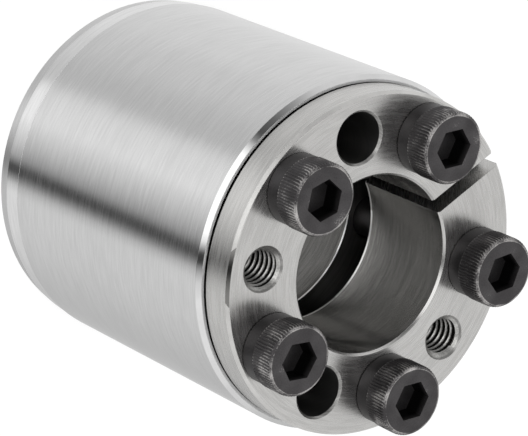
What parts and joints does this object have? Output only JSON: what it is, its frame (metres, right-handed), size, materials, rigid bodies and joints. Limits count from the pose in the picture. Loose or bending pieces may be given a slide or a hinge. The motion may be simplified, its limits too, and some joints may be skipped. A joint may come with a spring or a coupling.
{
  "type": "shaft locking assembly",
  "caption": "Keyless bushing that fixes a hub on a plain shaft: cap screws draw two slit taper rings into a double taper body.",
  "frame": {"origin": "centre of the rear end, on the shaft axis, where the assembly stands", "axes": "+Z along the shaft axis towards the screw heads, +X through the slits"},
  "size_m": [0.05, 0.05, 0.0606],
  "materials": {
    "ground_steel": "ground round the axis, bright",
    "turned_steel": "fine turned, satin",
    "black_oxide_steel": "black oxide"
  },
  "bodies": {
    "body": {"body": "ground_steel"},
    "front_ring": {"front_ring": "turned_steel"},
    "rear_ring": {"rear_ring": "turned_steel"},
    "screw_1": {"screw_1": "black_oxide_steel"},
    "screw_2": {"screw_2": "black_oxide_steel"},
    "screw_3": {"screw_3": "black_oxide_steel"},
    "screw_4": {"screw_4": "black_oxide_steel"},
    "screw_5": {"screw_5": "black_oxide_steel"}
  },
  "joints": [
    {"name": "front_slide", "type": "slide", "parent": "body", "child": "front_ring", "axis": [0, 0, 1], "range_m": [-0.0004, 0.0045]},
    {"name": "rear_slide", "type": "slide", "parent": "body", "child": "rear_ring", "axis": [0, 0, 1], "range_m": [-0.00451, 0.00041]},
    {"name": "screw_1_turn", "type": "hinge", "parent": "front_ring", "child": "screw_1", "pos_m": [0.01497, 0.01087, 0.0546], "axis": [0, 0, 1], "range_deg": [-289, 3241]},
    {"name": "screw_2_turn", "type": "hinge", "parent": "front_ring", "child": "screw_2", "pos_m": [-0.00572, 0.01759, 0.0546], "axis": [0, 0, 1], "range_deg": [-289, 3241]},
    {"name": "screw_3_turn", "type": "hinge", "parent": "front_ring", "child": "screw_3", "pos_m": [-0.0185, 0, 0.0546], "axis": [0, 0, 1], "range_deg": [-289, 3241]},
    {"name": "screw_4_turn", "type": "hinge", "parent": "front_ring", "child": "screw_4", "pos_m": [-0.00572, -0.01759, 0.0546], "axis": [0, 0, 1], "range_deg": [-289, 3241]},
    {"name": "screw_5_turn", "type": "hinge", "parent": "front_ring", "child": "screw_5", "pos_m": [0.01497, -0.01087, 0.0546], "axis": [0, 0, 1], "range_deg": [-289, 3241]}
  ],
  "couplings": [
    {"joint": "rear_slide", "follows": "front_slide", "ratio": -1},
    {"joint": "screw_1_turn", "follows": "front_slide", "rad_per_m": 12566},
    {"joint": "screw_2_turn", "follows": "front_slide", "rad_per_m": 12566},
    {"joint": "screw_3_turn", "follows": "front_slide", "rad_per_m": 12566},
    {"joint": "screw_4_turn", "follows": "front_slide", "rad_per_m": 12566},
    {"joint": "screw_5_turn", "follows": "front_slide", "rad_per_m": 12566}
  ]
}
